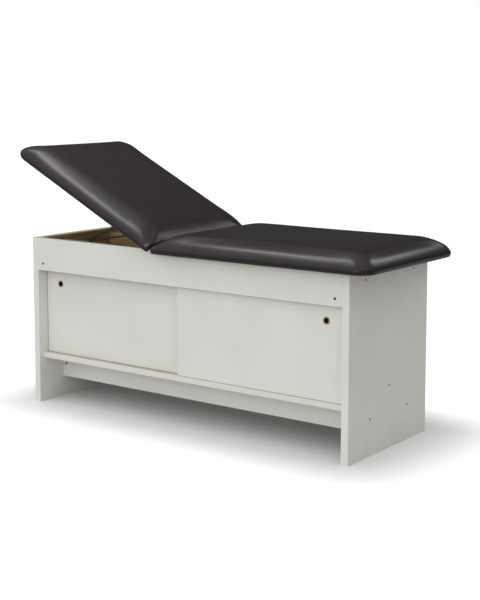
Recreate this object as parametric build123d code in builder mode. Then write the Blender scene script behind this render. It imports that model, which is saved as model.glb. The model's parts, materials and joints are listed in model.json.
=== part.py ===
from build123d import *
import os
from math import cos, radians, sin, sqrt

# Treatment table: a laminate cabinet on two end panels with sliding doors, under an
# upholstered top in two sections. The head section is hinged and propped on a ratchet.
# Millimetres. +X runs from head end to foot end, +Y from front to rear, +Z up.
# Origin: on the floor, at the centre of the footprint with the backrest at its rest angle.

os.makedirs("parts", exist_ok=True)

# ---- cabinet boards ----
cabinet_length = 1588.0
cabinet_depth = 584.0
cabinet_height = 717.0
panel_thickness = 30.0
board_edge_chamfer = 0.8
apron_thickness = 19.0
apron_height = 138.0
shelf_top = 215.0
shelf_thickness = 22.0
shelf_setback = 24.0
edge_strip_thickness = 2.0
edge_strip_rounding = 0.9
rear_panel_thickness = 12.0
stretcher_thickness = 19.0
stretcher_setback = 144.0
stretcher_height = 104.0
block_size = 30.0
block_height = 70.0
cross_rail_thickness = 25.0
cross_rail_height = 100.0
hinge_rail_thickness = 38.0
cleat_thickness = 22.0
cleat_height = 56.0
cleat_door_gap = 42.0

# ---- sliding doors and their tracks ----
door_thickness = 18.0
door_front_setback = 28.0
door_spacing = 6.0
door_overlap = 38.0
door_end_gap = 2.5
door_bottom_gap = 2.0
door_top_engagement = 10.0
door_lift_clearance = 4.0
track_wall = 3.0
track_side_clearance = 0.75
track_board_thickness = 16.0
track_board_lift = 21.0
lower_track_depth = 8.0
lower_track_margin = 2.0
glide_length = 40.0
glide_thickness = 7.0
glide_side_clearance = 0.5
glide_groove_depth = 6.0
glide_bottom_clearance = 0.3
glide_inset = 60.0
pull_edge_distance = 80.0
pull_height = 518.0
pull_cup_radius = 12.0
pull_wall = 1.5
pull_cup_depth = 11.5
pull_flange_radius = 14.5
pull_flange_thickness = 1.2
pull_fit_clearance = 0.05
buffer_radius = 5.0
buffer_gap = 0.5
buffer_heights = (300.0, 500.0)

# ---- upholstered top ----
pad_side_overhang = 51.0
seat_foot_overhang = 103.0
backrest_pad_length = 826.0
pad_gap = 8.0
seat_crown_above_board = 53.0
backrest_crown_above_board = 45.0
pad_edge_drop = 12.0
pad_lip_thickness = 20.0
pad_side_roll = 130.0
pad_end_roll = 150.0
pad_hinge_roll = 150.0
pad_shoulder_below_board_top = 5.0
pad_corner_radius = 70.0
pad_hinge_corner_radius = 12.0
board_thickness = 13.0
board_hinge_setback = 10.0
board_fit_clearance = 0.5
backrest_lift = 0.5

# ---- backrest hinges ----
rest_angle = 26.5
pin_from_head_face = 692.0
pin_above_cabinet = 7.0
pin_radius = 3.0
pin_clearance = 0.05
knuckle_radius = 5.5
knuckle_length = 30.0
knuckle_count = 3
knuckle_gap = 0.5
leaf_length = 42.0
leaf_thickness = 2.5
leaf_relief = 7.0
leaf_screw_from_edge = 13.5
leaf_screw_head_height = 1.5
hinge_offset = 200.0

# ---- prop and ratchet ----
prop_pivot_reach = 245.0
prop_pivot_drop = 17.0
prop_length = 258.5
prop_leg_offset = 190.0
prop_leg_width = 10.0
prop_leg_thickness = 6.0
prop_eye_radius = 8.0
prop_rod_radius = 4.0
prop_rod_overhang = 4.0
prop_rod_end_chamfer = 0.6
rod_clearance = 0.05
ear_thickness = 5.0
ear_leg_gap = 2.0
bracket_base_width = 35.0
bracket_base_length = 52.0
bracket_base_thickness = 3.0
bracket_screw_spacing = 36.0
rack_thickness = 5.0
rack_height = 43.0
rack_tooth_pitch = 22.0
rack_tooth_depth = 7.0
rack_tooth_land = 3.0
rack_tooth_count = 11
rack_start_from_head = 164.0
rack_tip_clearance = 1.0
rack_rail_width = 32.0
rack_rail_height = 58.0
rack_rail_drop = 19.0
rack_offset = 172.0
rack_bolt_count = 3

# ---- fasteners ----
screw_radius = 2.5
screw_clearance = 0.1
screw_length = 50.0
screw_head_radius = 5.0
screw_head_height = 2.0
screw_head_rounding = 1.4
short_screw_length = 36.0
end_rail_screw_spacing = 357.0
apron_screw_inset = 30.0
toe_screw_inset = 18.0
toe_screw_drop = 46.0
wood_screw_radius = 2.0
wood_screw_head_radius = 4.0
wood_screw_depth = 9.0
bolt_radius = 3.0
bolt_head_flats = 10.0
bolt_head_height = 4.0
bolt_depth = 24.0

# ---- positions that follow from the sizes ----
pin_height = cabinet_height + pin_above_cabinet
board_low = -pin_above_cabinet
pad_low = board_low - pad_edge_drop
pad_width = cabinet_depth + 2 * pad_side_overhang
seat_pad_length = cabinet_length + seat_foot_overhang - pin_from_head_face - pad_gap / 2
backrest_far = pad_gap / 2 + backrest_pad_length
rest_cos = cos(radians(rest_angle))
rest_sin = sin(radians(rest_angle))
head_tip_from_face = pin_from_head_face - backrest_far * rest_cos + (pad_low + backrest_lift) * rest_sin
foot_tip_from_face = pin_from_head_face + pad_gap / 2 + seat_pad_length
head_x = -(head_tip_from_face + foot_tip_from_face) / 2
foot_x = head_x + cabinet_length
pin_x = head_x + pin_from_head_face
inner_head_x = head_x + panel_thickness
inner_foot_x = foot_x - panel_thickness
front_y = -cabinet_depth / 2
rear_y = cabinet_depth / 2
apron_bottom = cabinet_height - apron_height
inner_front_y = front_y + apron_thickness
inner_rear_y = rear_y - apron_thickness
stretcher_front_y = front_y + stretcher_setback
stretcher_rear_y = rear_y - stretcher_setback
shelf_bottom = shelf_top - shelf_thickness
stretcher_bottom = shelf_bottom - stretcher_height
rail_bottom = cabinet_height - cross_rail_height

head_face = Plane(origin=(head_x, 0, 0), x_dir=(0, -1, 0), z_dir=(-1, 0, 0))
foot_face = Plane(origin=(foot_x, 0, 0), x_dir=(0, 1, 0), z_dir=(1, 0, 0))
front_face = Plane(origin=(0, front_y, 0), x_dir=(1, 0, 0), z_dir=(0, -1, 0))
toe_face = Plane(origin=(0, stretcher_front_y, 0), x_dir=(1, 0, 0), z_dir=(0, -1, 0))

# Side views of the two top sections: x runs from the hinge pin along the board,
# y is square to the board. The backrest's view is turned up by its rest angle.
seat_side = Plane(origin=(pin_x, 0, pin_height), x_dir=(1, 0, 0), z_dir=(0, -1, 0))
backrest_side = Plane(origin=(pin_x, 0, pin_height), x_dir=(-rest_cos, 0, rest_sin), z_dir=(0, 1, 0))

rail_screw_z = cabinet_height - cross_rail_height / 2
cleat_screw_z = shelf_top + cleat_height / 2
stretcher_screw_y = stretcher_front_y + stretcher_thickness / 2
stretcher_screw_z = shelf_bottom - stretcher_height / 2
rail_screws = [(side * end_rail_screw_spacing / 2, rail_screw_z) for side in (-1, 1)]
stretcher_screws = [(side * stretcher_screw_y, stretcher_screw_z) for side in (-1, 1)]
end_screws = rail_screws + stretcher_screws + [(0, cleat_screw_z)]
apron_screws_x = (inner_head_x + apron_screw_inset, inner_foot_x - apron_screw_inset)
track_board_bottom = apron_bottom + track_board_lift
apron_screw_z = track_board_bottom + track_board_thickness / 2
apron_screw_points = [(x, apron_screw_z) for x in apron_screws_x]
toe_screws_x = (inner_head_x + toe_screw_inset, inner_foot_x - toe_screw_inset)
toe_screw_points = [(x, shelf_bottom - toe_screw_drop) for x in toe_screws_x]


def span_rectangle(low, high):
    """Rectangle between two opposite corners, in the current sketch."""
    with Locations(((low[0] + high[0]) / 2, (low[1] + high[1]) / 2)):
        Rectangle(high[0] - low[0], high[1] - low[1])


def bore(plane, points, radius, depth):
    """Cut round holes of one radius into the current part, downward from a plane."""
    with BuildSketch(plane) as mouths:
        with Locations(*points):
            Circle(radius)
    extrude(mouths.sketch, amount=-depth, mode=Mode.SUBTRACT)


def finish(builder, label):
    """Name a finished piece and write its file."""
    builder.part.label = label
    export_step(builder.part, "parts/" + label + ".step")


def pan_screws(label, plane, points, length):
    """A set of equal pan-head screws driven in square to a plane."""
    with BuildPart() as screws:
        with BuildSketch(plane):
            with Locations(*points):
                Circle(screw_radius)
        extrude(amount=-length)
        with BuildSketch(plane):
            with Locations(*points):
                Circle(screw_head_radius)
        extrude(amount=screw_head_height)
        outward = Axis(plane.origin, plane.z_dir)
        fillet(screws.edges().group_by(outward)[-1], screw_head_rounding)
    finish(screws, label)


# ================================================================ end panels
with BuildPart() as head_end_panel:
    with BuildSketch():
        span_rectangle((head_x, front_y), (inner_head_x, rear_y))
    extrude(amount=cabinet_height)
    chamfer(head_end_panel.edges().filter_by(Axis.Z), board_edge_chamfer)
    bore(head_face, end_screws, screw_radius + screw_clearance, panel_thickness)
finish(head_end_panel, "head_end_panel")

with BuildPart() as foot_end_panel:
    with BuildSketch():
        span_rectangle((inner_foot_x, front_y), (foot_x, rear_y))
    extrude(amount=cabinet_height)
    chamfer(foot_end_panel.edges().filter_by(Axis.Z), board_edge_chamfer)
    bore(foot_face, end_screws, screw_radius + screw_clearance, panel_thickness)
finish(foot_end_panel, "foot_end_panel")

# ================================================================ aprons and back
with BuildPart() as front_apron:
    with BuildSketch(Plane.XY.offset(apron_bottom)):
        span_rectangle((inner_head_x, front_y), (inner_foot_x, inner_front_y))
    extrude(amount=apron_height)
    bore(front_face, apron_screw_points, screw_radius + screw_clearance, apron_thickness)
finish(front_apron, "front_apron")

with BuildPart() as rear_apron:
    with BuildSketch(Plane.XY.offset(apron_bottom)):
        span_rectangle((inner_head_x, inner_rear_y), (inner_foot_x, rear_y))
    extrude(amount=apron_height)
finish(rear_apron, "rear_apron")

with BuildPart() as rear_panel:
    with BuildSketch(Plane.XY.offset(shelf_bottom)):
        span_rectangle((inner_head_x, rear_y - rear_panel_thickness), (inner_foot_x, rear_y))
    extrude(amount=apron_bottom - shelf_bottom)
finish(rear_panel, "rear_panel")

# ================================================================ shelf and its supports
front_door_y = front_y + door_front_setback
rear_door_y = front_door_y + door_thickness + door_spacing
rear_door_back_y = rear_door_y + door_thickness
cleat_front_y = rear_door_back_y + cleat_door_gap
front_door_mid_y = front_door_y + door_thickness / 2
rear_door_mid_y = rear_door_y + door_thickness / 2
lower_track_front_y = front_door_y + lower_track_margin
lower_track_rear_y = rear_door_back_y + lower_track_margin
groove_width = glide_thickness + 2 * glide_side_clearance
groove_bottom = shelf_top - glide_groove_depth

with BuildPart() as bottom_shelf:
    with BuildSketch(Plane.XY.offset(shelf_bottom)):
        span_rectangle(
            (inner_head_x, front_y + shelf_setback + edge_strip_thickness),
            (inner_foot_x, rear_y - rear_panel_thickness),
        )
    extrude(amount=shelf_thickness)
    with BuildSketch(Plane.XY.offset(shelf_top)):
        span_rectangle((inner_head_x, lower_track_front_y), (inner_foot_x, lower_track_rear_y))
    extrude(amount=-lower_track_depth, mode=Mode.SUBTRACT)
finish(bottom_shelf, "bottom_shelf")

with BuildPart() as shelf_edge_strip:
    with BuildSketch(Plane.XY.offset(shelf_bottom)):
        span_rectangle(
            (inner_head_x, front_y + shelf_setback),
            (inner_foot_x, front_y + shelf_setback + edge_strip_thickness),
        )
    extrude(amount=shelf_thickness)
    front_edges = shelf_edge_strip.edges().filter_by(Axis.X).group_by(Axis.Y)[0]
    fillet(front_edges, edge_strip_rounding)
finish(shelf_edge_strip, "shelf_edge_strip")

with BuildPart() as lower_track:
    with BuildSketch(Plane.XY.offset(shelf_top)):
        span_rectangle((inner_head_x, lower_track_front_y), (inner_foot_x, lower_track_rear_y))
    extrude(amount=-lower_track_depth)
    with BuildSketch(Plane.XY.offset(shelf_top)):
        for groove_y in (front_door_mid_y, rear_door_mid_y):
            span_rectangle(
                (inner_head_x, groove_y - groove_width / 2), (inner_foot_x, groove_y + groove_width / 2)
            )
    extrude(amount=-glide_groove_depth, mode=Mode.SUBTRACT)
finish(lower_track, "lower_track")

with BuildPart() as toe_board:
    with BuildSketch(Plane.XY.offset(stretcher_bottom)):
        span_rectangle(
            (inner_head_x, stretcher_front_y), (inner_foot_x, stretcher_front_y + stretcher_thickness)
        )
    extrude(amount=stretcher_height)
    bore(head_face, stretcher_screws, screw_radius + screw_clearance, screw_length)
    bore(foot_face, stretcher_screws, screw_radius + screw_clearance, screw_length)
    bore(toe_face, toe_screw_points, screw_radius + screw_clearance, stretcher_thickness)
finish(toe_board, "toe_board")

with BuildPart() as rear_stretcher:
    with BuildSketch(Plane.XY.offset(stretcher_bottom)):
        span_rectangle(
            (inner_head_x, stretcher_rear_y - stretcher_thickness), (inner_foot_x, stretcher_rear_y)
        )
    extrude(amount=stretcher_height)
    bore(head_face, stretcher_screws, screw_radius + screw_clearance, screw_length)
    bore(foot_face, stretcher_screws, screw_radius + screw_clearance, screw_length)
finish(rear_stretcher, "rear_stretcher")

block_front_y = stretcher_front_y + stretcher_thickness
for end, block_x in (("head", inner_head_x), ("foot", inner_foot_x - block_size)):
    with BuildPart() as toe_block:
        with BuildSketch(Plane.XY.offset(shelf_bottom - block_height)):
            span_rectangle((block_x, block_front_y), (block_x + block_size, block_front_y + block_size))
        extrude(amount=block_height)
        bore(toe_face, toe_screw_points, screw_radius + screw_clearance, short_screw_length)
    finish(toe_block, "toe_block_" + end)

for end, cleat_x, end_plane in (
    ("head", inner_head_x, head_face),
    ("foot", inner_foot_x - cleat_thickness, foot_face),
):
    with BuildPart() as shelf_cleat:
        with BuildSketch(Plane.XY.offset(shelf_top)):
            span_rectangle((cleat_x, cleat_front_y), (cleat_x + cleat_thickness, -cleat_front_y))
        extrude(amount=cleat_height)
        bore(end_plane, [(0, cleat_screw_z)], screw_radius + screw_clearance, screw_length)
    finish(shelf_cleat, "shelf_cleat_" + end)

# ================================================================ rails under the top
for end, rail_x, end_plane in (
    ("head", inner_head_x, head_face),
    ("foot", inner_foot_x - cross_rail_thickness, foot_face),
):
    with BuildPart() as cross_rail:
        with BuildSketch(Plane.XY.offset(rail_bottom)):
            span_rectangle((rail_x, inner_front_y), (rail_x + cross_rail_thickness, inner_rear_y))
        extrude(amount=cross_rail_height)
        bore(end_plane, rail_screws, screw_radius + screw_clearance, screw_length)
    finish(cross_rail, end + "_cross_rail")

hinge_rail_low_x = pin_x - hinge_rail_thickness / 2
with BuildPart() as hinge_rail:
    with BuildSketch(Plane.XY.offset(rail_bottom)):
        span_rectangle(
            (hinge_rail_low_x, inner_front_y), (hinge_rail_low_x + hinge_rail_thickness, inner_rear_y)
        )
    extrude(amount=cross_rail_height)
finish(hinge_rail, "hinge_rail")

# Prop geometry at rest, measured from the hinge pin.
prop_top_x = -prop_pivot_reach * rest_cos - prop_pivot_drop * rest_sin
prop_top_z = prop_pivot_reach * rest_sin - prop_pivot_drop * rest_cos
prop_foot_z = -prop_pivot_drop
prop_run = sqrt(prop_length**2 - (prop_top_z - prop_foot_z) ** 2)
rack_tip_z = pin_height + prop_foot_z - prop_rod_radius - rack_tip_clearance
rack_low_z = rack_tip_z - rack_height
rack_length = rack_tooth_count * rack_tooth_pitch
rack_low_x = head_x + rack_start_from_head
rack_rail_top = cabinet_height - rack_rail_drop
rack_rail_low_x = inner_head_x + cross_rail_thickness
bolt_spacing = rack_length / rack_bolt_count
bolt_z = (rack_rail_top - rack_rail_height + rack_tip_z) / 2
bolt_points = [(rack_low_x + bolt_spacing * (i + 0.5), bolt_z) for i in range(rack_bolt_count)]
rack_planes = {
    "front": Plane(origin=(0, -rack_offset, 0), x_dir=(1, 0, 0), z_dir=(0, -1, 0)),
    "rear": Plane(origin=(0, rack_offset, 0), x_dir=(-1, 0, 0), z_dir=(0, 1, 0)),
}

for place, side in (("front", -1), ("rear", 1)):
    rack_plane = rack_planes[place]
    sense = -side
    plane_points = [(sense * x, z) for x, z in bolt_points]

    with BuildPart() as rack_rail:
        with BuildSketch(Plane.XY.offset(rack_rail_top)):
            with Locations((0, side * (rack_offset - rack_thickness - rack_rail_width / 2))):
                with Locations(((rack_rail_low_x + hinge_rail_low_x) / 2, 0)):
                    Rectangle(hinge_rail_low_x - rack_rail_low_x, rack_rail_width)
        extrude(amount=-rack_rail_height)
        bore(rack_plane, plane_points, bolt_radius + screw_clearance, bolt_depth)
    finish(rack_rail, "rack_rail_" + place)

    outline = [(rack_low_x, rack_low_z)]
    for tooth in range(rack_tooth_count):
        tooth_x = rack_low_x + tooth * rack_tooth_pitch
        outline.append((tooth_x, rack_tip_z - rack_tooth_depth))
        outline.append((tooth_x + rack_tooth_pitch - rack_tooth_land, rack_tip_z))
        outline.append((tooth_x + rack_tooth_pitch, rack_tip_z))
    outline.append((rack_low_x + rack_length, rack_low_z))
    with BuildPart() as ratchet_rack:
        with BuildSketch(rack_plane):
            with BuildLine():
                Polyline([(sense * x, z) for x, z in outline], close=True)
            make_face()
        extrude(amount=-rack_thickness)
        bore(rack_plane, plane_points, bolt_radius + screw_clearance, rack_thickness)
    finish(ratchet_rack, "ratchet_rack_" + place)

with BuildPart() as rack_bolts:
    for place, sense in (("front", 1), ("rear", -1)):
        with BuildSketch(rack_planes[place]):
            with Locations(*[(sense * x, z) for x, z in bolt_points]):
                Circle(bolt_radius)
        extrude(amount=-bolt_depth)
        with BuildSketch(rack_planes[place]):
            with Locations(*[(sense * x, z) for x, z in bolt_points]):
                RegularPolygon(bolt_head_flats / 2, 6, major_radius=False)
        extrude(amount=bolt_head_height)
finish(rack_bolts, "rack_bolts")

# ================================================================ door tracks
upper_track_front_y = front_door_y - track_side_clearance - track_wall
upper_track_rear_y = rear_door_back_y + track_side_clearance + track_wall
track_board_rear_y = upper_track_rear_y + track_wall
door_top = track_board_bottom - track_wall - door_lift_clearance
upper_track_bottom = door_top - door_top_engagement

with BuildPart() as track_board:
    with BuildSketch(Plane.XY.offset(track_board_bottom)):
        span_rectangle((inner_head_x, inner_front_y), (inner_foot_x, track_board_rear_y))
    extrude(amount=track_board_thickness)
    bore(front_face, apron_screw_points, screw_radius + screw_clearance, screw_length)
finish(track_board, "track_board")

with BuildPart() as upper_track:
    with BuildSketch(Plane.XY.offset(upper_track_bottom)):
        span_rectangle((inner_head_x, upper_track_front_y), (inner_foot_x, upper_track_rear_y))
    extrude(amount=track_board_bottom - upper_track_bottom)
    with BuildSketch(Plane.XY.offset(upper_track_bottom)):
        for groove_y in (front_door_y, rear_door_y):
            span_rectangle(
                (inner_head_x, groove_y - track_side_clearance),
                (inner_foot_x, groove_y + door_thickness + track_side_clearance),
            )
    extrude(amount=track_board_bottom - track_wall - upper_track_bottom, mode=Mode.SUBTRACT)
finish(upper_track, "upper_track")

# ================================================================ sliding doors
opening_length = inner_foot_x - inner_head_x
door_width = (opening_length - 2 * door_end_gap + door_overlap) / 2
door_bottom = shelf_top + door_bottom_gap

for hand, door_low_x, door_y, pull_x in (
    ("left", inner_head_x + door_end_gap, rear_door_y, inner_head_x + door_end_gap + pull_edge_distance),
    (
        "right",
        inner_foot_x - door_end_gap - door_width,
        front_door_y,
        inner_foot_x - door_end_gap - pull_edge_distance,
    ),
):
    door_plane = Plane(origin=(0, door_y, 0), x_dir=(1, 0, 0), z_dir=(0, -1, 0))

    with BuildPart() as door:
        with BuildSketch(door_plane):
            span_rectangle((door_low_x, door_bottom), (door_low_x + door_width, door_top))
        extrude(amount=-door_thickness)
        chamfer(door.edges().filter_by(Axis.Z), board_edge_chamfer)
        bore(door_plane, [(pull_x, pull_height)], pull_cup_radius + pull_fit_clearance, pull_cup_depth)
    finish(door, hand + "_door")

    with BuildPart() as finger_pull:
        with BuildSketch(door_plane):
            with Locations((pull_x, pull_height)):
                Circle(pull_cup_radius)
        extrude(amount=-pull_cup_depth)
        with BuildSketch(door_plane):
            with Locations((pull_x, pull_height)):
                Circle(pull_flange_radius)
        extrude(amount=pull_flange_thickness)
        with BuildSketch(door_plane.offset(pull_flange_thickness)):
            with Locations((pull_x, pull_height)):
                Circle(pull_cup_radius - pull_wall)
        extrude(amount=pull_wall - pull_cup_depth - pull_flange_thickness, mode=Mode.SUBTRACT)
    finish(finger_pull, hand + "_finger_pull")

    glide_mid_y = door_y + door_thickness / 2
    with BuildPart() as door_glides:
        with BuildSketch(Plane.XY.offset(door_bottom)):
            with Locations((door_low_x + glide_inset, glide_mid_y)):
                Rectangle(glide_length, glide_thickness)
            with Locations((door_low_x + door_width - glide_inset, glide_mid_y)):
                Rectangle(glide_length, glide_thickness)
        extrude(amount=groove_bottom + glide_bottom_clearance - door_bottom)
    finish(door_glides, hand + "_door_glides")

with BuildPart() as door_buffers:
    with BuildSketch(Plane.YZ.offset(inner_head_x)):
        with Locations(*[(rear_door_mid_y, z) for z in buffer_heights]):
            Circle(buffer_radius)
    extrude(amount=door_end_gap - buffer_gap)
    with BuildSketch(Plane.YZ.offset(inner_foot_x)):
        with Locations(*[(front_door_mid_y, z) for z in buffer_heights]):
            Circle(buffer_radius)
    extrude(amount=buffer_gap - door_end_gap)
finish(door_buffers, "door_buffers")


# ================================================================ boards and pads
def plan_of(side_view):
    """Plane of a top section seen from above, through the hinge pin."""
    return Plane(side_view.origin, x_dir=side_view.x_dir, z_dir=side_view.y_dir)


def leaf_screw_points(side_view, hinge_y):
    """Screw places of one hinge leaf, in the plan of its top section."""
    sense = plan_of(side_view).y_dir.Y
    return [(leaf_screw_reach, sense * (hinge_y + step)) for step in (-knuckle_length, knuckle_length)]


def all_leaf_screw_points(side_view):
    """Screw places of the three leaves of one top section."""
    points = []
    for hinge_y in hinge_places.values():
        points = points + leaf_screw_points(side_view, hinge_y)
    return points


def top_board(side_view, length, lift, screw_points):
    """Plywood board of one top section, rebated underneath for the hinge leaves."""
    far_end = pad_gap / 2 + length - pad_lip_thickness - board_fit_clearance
    low = board_low + lift
    half_width = pad_width / 2 - pad_lip_thickness - board_fit_clearance
    with BuildPart() as board:
        with BuildSketch(side_view):
            span_rectangle((board_hinge_setback, low), (far_end, low + board_thickness))
        extrude(amount=half_width, both=True)
        upright = Axis(side_view.origin, plan_of(side_view).z_dir)
        along_board = Axis(side_view.origin, side_view.x_dir)
        far_edges = board.edges().filter_by(upright).group_by(along_board)[-1]
        fillet(far_edges, pad_corner_radius - pad_lip_thickness - board_fit_clearance)
        for hinge_y in hinge_places.values():
            with BuildSketch(side_view.offset(hinge_y)):
                span_rectangle((0, low), (leaf_length + board_fit_clearance, low + leaf_thickness))
            extrude(amount=leaf_half_width + board_fit_clearance, both=True, mode=Mode.SUBTRACT)
        bore(
            plan_of(side_view).offset(low + wood_screw_depth),
            screw_points,
            wood_screw_radius + screw_clearance,
            wood_screw_depth,
        )
    return board


def top_pad(side_view, length, lift, crown):
    """Upholstered pad that wraps over the edges of its board and is crowned towards them."""
    near = pad_gap / 2
    far = near + length
    low = pad_low + lift
    board_top = board_low + board_thickness + lift
    high = board_top + crown
    shoulder = board_top - pad_shoulder_below_board_top
    roll_height = high - shoulder
    half_width = pad_width / 2
    flat_half = half_width - pad_side_roll
    pocket_half = half_width - pad_lip_thickness
    with BuildPart() as level_pad:
        with BuildSketch(Plane.XY.offset(low)) as plan_outline:
            span_rectangle((near, -half_width), (far, half_width))
            fillet(plan_outline.vertices().group_by(Axis.X)[0], pad_hinge_corner_radius)
            fillet(plan_outline.vertices().group_by(Axis.X)[-1], pad_corner_radius)
        extrude(amount=high - low)
        with BuildSketch(Plane.XZ):
            with BuildLine():
                Line((near, shoulder), (near, low))
                Line((near, low), (far, low))
                Line((far, low), (far, shoulder))
                EllipticalCenterArc((far - pad_end_roll, shoulder), pad_end_roll, roll_height, 0)
                Line((far - pad_end_roll, high), (near + pad_hinge_roll, high))
                EllipticalCenterArc((near + pad_hinge_roll, shoulder), pad_hinge_roll, roll_height, 90)
            make_face()
        extrude(amount=half_width, both=True, mode=Mode.INTERSECT)
        with BuildSketch(Plane.YZ):
            with BuildLine():
                Line((-half_width, shoulder), (-half_width, low))
                Line((-half_width, low), (half_width, low))
                Line((half_width, low), (half_width, shoulder))
                EllipticalCenterArc((flat_half, shoulder), pad_side_roll, roll_height, 0)
                Line((flat_half, high), (-flat_half, high))
                EllipticalCenterArc((-flat_half, shoulder), pad_side_roll, roll_height, 90)
            make_face()
        extrude(amount=far, mode=Mode.INTERSECT)
        with BuildSketch(Plane.XY.offset(low)) as pocket:
            span_rectangle((0, -pocket_half), (far - pad_lip_thickness, pocket_half))
            fillet(pocket.vertices().group_by(Axis.X)[-1], pad_corner_radius - pad_lip_thickness)
        extrude(amount=board_top - low, mode=Mode.SUBTRACT)
    with BuildPart() as pad:
        with Locations(plan_of(side_view).location):
            add(level_pad.part)
    return pad


leaf_half_width = knuckle_length * knuckle_count / 2
leaf_screw_reach = leaf_length - leaf_screw_from_edge
hinge_places = {"front": -hinge_offset, "middle": 0.0, "rear": hinge_offset}
ear_offset = prop_leg_offset - prop_leg_thickness / 2 - ear_leg_gap - ear_thickness / 2
base_offset = ear_offset + ear_thickness / 2 - bracket_base_width / 2
seat_screws = all_leaf_screw_points(seat_side)
backrest_screws = all_leaf_screw_points(backrest_side)
bracket_screws_x = (prop_pivot_reach - bracket_screw_spacing / 2, prop_pivot_reach + bracket_screw_spacing / 2)
bracket_screw_points = [(x, side * base_offset) for x in bracket_screws_x for side in (-1, 1)]

finish(top_board(seat_side, seat_pad_length, 0.0, seat_screws), "seat_board")
finish(top_pad(seat_side, seat_pad_length, 0.0, seat_crown_above_board), "seat_pad")
backrest_points = backrest_screws + bracket_screw_points
finish(top_board(backrest_side, backrest_pad_length, backrest_lift, backrest_points), "backrest_board")
finish(
    top_pad(backrest_side, backrest_pad_length, backrest_lift, backrest_crown_above_board), "backrest_pad"
)


# ================================================================ hinges
def hinge_leaf(side_view, hinge_y, lift, knuckle_offsets):
    """One leaf of a butt hinge: a plate, its tongues and its knuckles, bored for the pin."""
    low = board_low + lift
    points = leaf_screw_points(side_view, hinge_y)
    centre = side_view.offset(hinge_y * side_view.z_dir.Y)
    with BuildPart() as leaf:
        with BuildSketch(centre):
            span_rectangle((leaf_relief, low), (leaf_length, low + leaf_thickness))
        extrude(amount=leaf_half_width, both=True)
        for knuckle in knuckle_offsets:
            with BuildSketch(centre.offset(knuckle)):
                Circle(knuckle_radius)
                span_rectangle((0, low), (leaf_relief + leaf_thickness, low + leaf_thickness))
            extrude(amount=(knuckle_length - knuckle_gap) / 2, both=True)
        bore(centre.offset(leaf_half_width), [(0, 0)], pin_radius + pin_clearance, 2 * leaf_half_width)
        bore(
            plan_of(side_view).offset(low + leaf_thickness),
            points,
            wood_screw_radius + screw_clearance,
            leaf_thickness,
        )
        bore(
            plan_of(side_view).offset(low + leaf_screw_head_height),
            points,
            wood_screw_head_radius + screw_clearance,
            leaf_screw_head_height,
        )
    return leaf


def board_screws(label, side_view, low, points, head_low, head_height):
    """Screws driven up into a board, with their heads between two levels below it."""
    with BuildPart() as screws:
        with BuildSketch(plan_of(side_view).offset(head_low)):
            with Locations(*points):
                Circle(wood_screw_radius)
        extrude(amount=low + wood_screw_depth - head_low)
        with BuildSketch(plan_of(side_view).offset(head_low)):
            with Locations(*points):
                Circle(wood_screw_head_radius)
        extrude(amount=head_height)
    finish(screws, label)


for place, hinge_y in hinge_places.items():
    outer_knuckles = (-knuckle_length, knuckle_length)
    finish(hinge_leaf(seat_side, hinge_y, 0.0, outer_knuckles), "hinge_fixed_leaf_" + place)
    finish(hinge_leaf(backrest_side, hinge_y, backrest_lift, (0,)), "hinge_moving_leaf_" + place)
    with BuildPart() as hinge_pin:
        with BuildSketch(backrest_side.offset(hinge_y)):
            Circle(pin_radius)
        extrude(amount=leaf_half_width, both=True)
    finish(hinge_pin, "hinge_pin_" + place)

backrest_low = board_low + backrest_lift
board_screws("seat_hinge_screws", seat_side, board_low, seat_screws, board_low, leaf_screw_head_height)
board_screws(
    "backrest_hinge_screws", backrest_side, backrest_low, backrest_screws, backrest_low, leaf_screw_head_height
)

# ================================================================ prop
bracket_low = backrest_low - bracket_base_thickness
for place, side in (("front", -1), ("rear", 1)):
    with BuildPart() as prop_bracket:
        with BuildSketch(backrest_side.offset(side * base_offset)):
            span_rectangle(
                (prop_pivot_reach - bracket_base_length / 2, bracket_low),
                (prop_pivot_reach + bracket_base_length / 2, backrest_low),
            )
        extrude(amount=bracket_base_width / 2, both=True)
        with BuildSketch(backrest_side.offset(side * ear_offset)):
            with Locations((prop_pivot_reach, -prop_pivot_drop)):
                Circle(prop_eye_radius)
            span_rectangle(
                (prop_pivot_reach - prop_eye_radius, -prop_pivot_drop),
                (prop_pivot_reach + prop_eye_radius, bracket_low),
            )
        extrude(amount=ear_thickness / 2, both=True)
        bore(
            backrest_side.offset(side * ear_offset + ear_thickness),
            [(prop_pivot_reach, -prop_pivot_drop)],
            prop_rod_radius + rod_clearance,
            2 * ear_thickness,
        )
        bore(
            plan_of(backrest_side).offset(backrest_low),
            bracket_screw_points,
            wood_screw_radius + screw_clearance,
            bracket_base_thickness,
        )
    finish(prop_bracket, "prop_bracket_" + place)

bracket_head_low = bracket_low - screw_head_height
board_screws(
    "bracket_screws", backrest_side, backrest_low, bracket_screw_points, bracket_head_low, screw_head_height
)

prop_dir = (-prop_run / prop_length, 0, (prop_foot_z - prop_top_z) / prop_length)
prop_side = Plane(
    origin=(pin_x + prop_top_x, 0, pin_height + prop_top_z), x_dir=prop_dir, z_dir=(0, 1, 0)
)
rod_half_length = prop_leg_offset + prop_leg_thickness / 2 + prop_rod_overhang

for place, side in (("front", -1), ("rear", 1)):
    with BuildPart() as prop_leg:
        with BuildSketch(prop_side.offset(side * prop_leg_offset)):
            span_rectangle((0, -prop_leg_width / 2), (prop_length, prop_leg_width / 2))
            with Locations((0, 0), (prop_length, 0)):
                Circle(prop_eye_radius)
            with Locations((0, 0), (prop_length, 0)):
                Circle(prop_rod_radius + rod_clearance, mode=Mode.SUBTRACT)
        extrude(amount=prop_leg_thickness / 2, both=True)
    finish(prop_leg, "prop_leg_" + place)

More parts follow.
